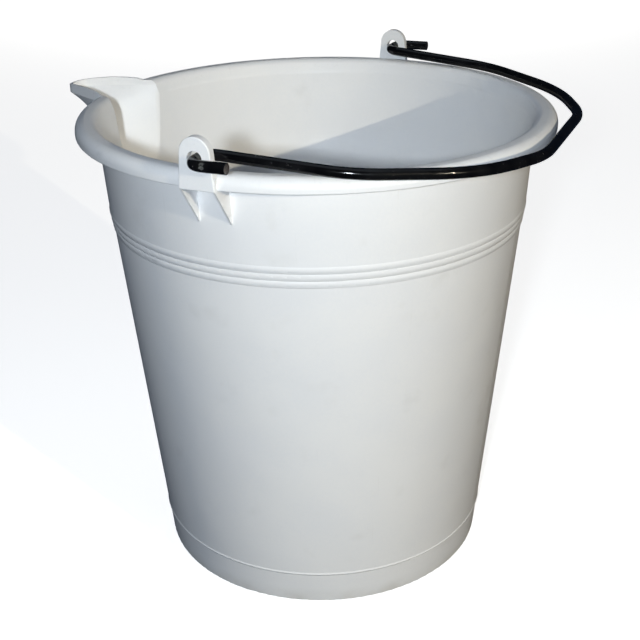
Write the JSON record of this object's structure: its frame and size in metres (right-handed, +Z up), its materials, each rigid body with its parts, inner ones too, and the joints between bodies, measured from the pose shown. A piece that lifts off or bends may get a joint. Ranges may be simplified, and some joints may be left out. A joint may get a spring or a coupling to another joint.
{
  "type": "bucket",
  "caption": "Tapered plastic bucket with a V-shaped pouring spout, a rolled rim, a ribbed band and a black coated wire bail hinged in ears on the rim.",
  "frame": {"origin": "middle of the foot ring on the ground", "axes": "+Z up the bucket's axis, the ears to +Y and -Y, the spout towards -X, the bail folded towards +X"},
  "size_m": [0.3425, 0.3268, 0.321],
  "materials": {
    "white_plastic": "satin",
    "wire_steel": "drawn wire, cut ends",
    "black_coating": "semi-gloss"
  },
  "bodies": {
    "bucket": {"bucket_body": "white_plastic"},
    "bail": {"bail_wire": "wire_steel", "bail_coating": "black_coating"}
  },
  "joints": [
    {"name": "bail_swing", "type": "hinge", "parent": "bucket", "child": "bail", "pos_m": [-0.0022, 0, 0.3084], "axis": [0, -1, 0], "range_deg": [0, 184.5]}
  ]
}
